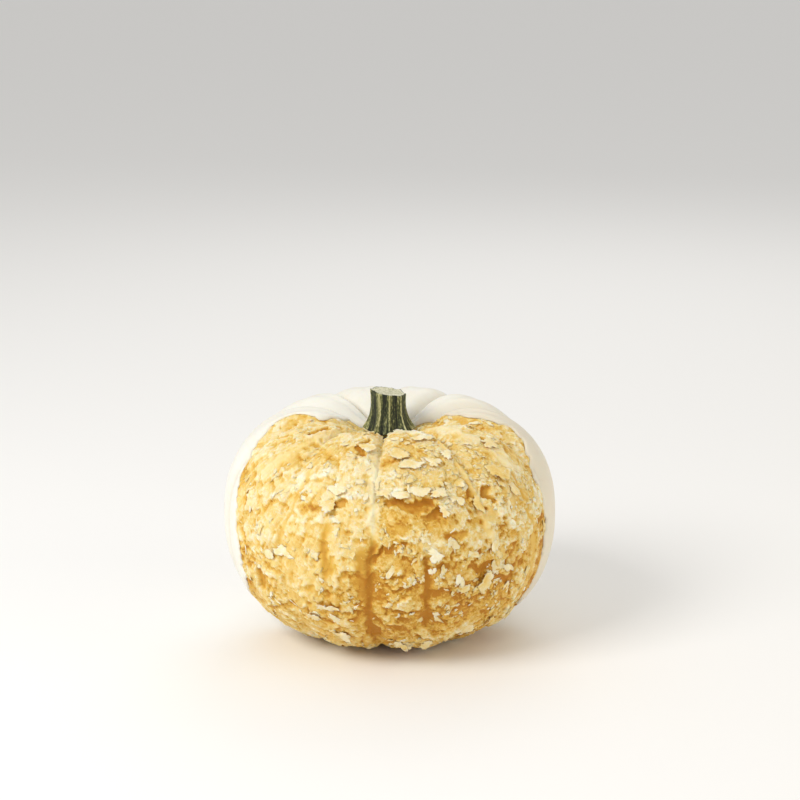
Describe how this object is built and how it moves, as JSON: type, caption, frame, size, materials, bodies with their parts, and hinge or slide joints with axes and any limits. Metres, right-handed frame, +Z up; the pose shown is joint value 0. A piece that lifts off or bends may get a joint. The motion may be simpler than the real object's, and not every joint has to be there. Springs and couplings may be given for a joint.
{
  "type": "kabocha squash",
  "caption": "Ribbed white-skinned kabocha squash standing on its base, with a cut stem and the skin peeled off its front to show crumbly golden flesh.",
  "frame": {"origin": "on the surface that the squash stands on, under the middle of its bounding box", "axes": "+Z up along the stem; -Y towards the peeled front; +X across the squash, to the right when facing the peeled front"},
  "size_m": [0.1522, 0.15, 0.1126],
  "materials": {
    "rind": "smooth satin cream-white skin",
    "flesh": "moist, crumbly golden flesh",
    "stem": "ridged dark green stalk with pale stripes",
    "stem_cut": "pale fibrous cut face"
  },
  "bodies": {
    "root": {"squash": "rind", "stem": "stem"}
  },
  "joints": []
}
